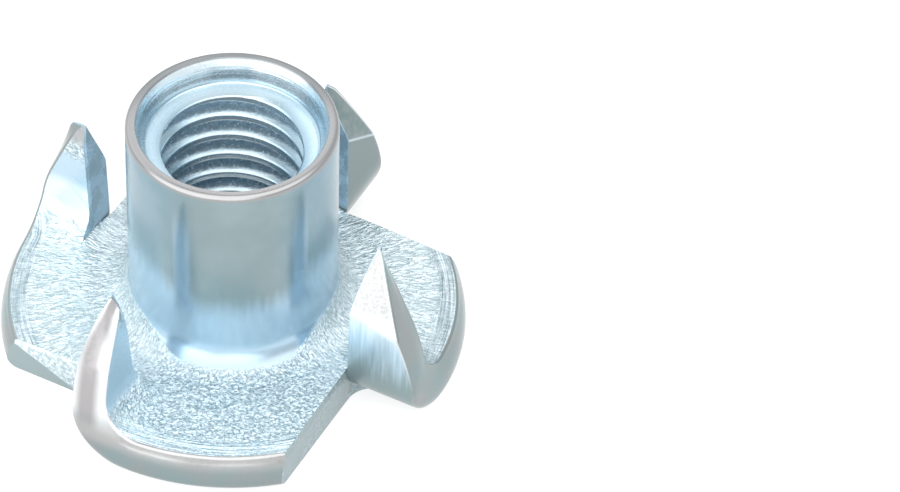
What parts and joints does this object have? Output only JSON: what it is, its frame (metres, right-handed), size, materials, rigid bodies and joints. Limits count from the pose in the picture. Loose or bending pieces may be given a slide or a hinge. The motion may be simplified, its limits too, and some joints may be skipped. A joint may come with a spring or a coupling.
{
  "type": "tee nut",
  "caption": "Threaded barrel on a round flange, with prongs slit from the rim and bent up beside it, to be driven into wood.",
  "frame": {"origin": "on the barrel's axis, in the plane of the flange's underside", "axes": "+Z along the barrel's axis from the flange to the barrel's mouth; +X and +Y along the flange, with the first slit's prong at 30 degrees from +X towards -Y"},
  "size_m": [0.0224, 0.0224, 0.0132],
  "materials": {
    "zinc_plated_steel": "bright zinc plating with a blue passivate, smooth on the barrel and rim, fine-grained on the flange"
  },
  "bodies": {
    "root": {"tee_nut": "zinc_plated_steel"}
  },
  "joints": []
}
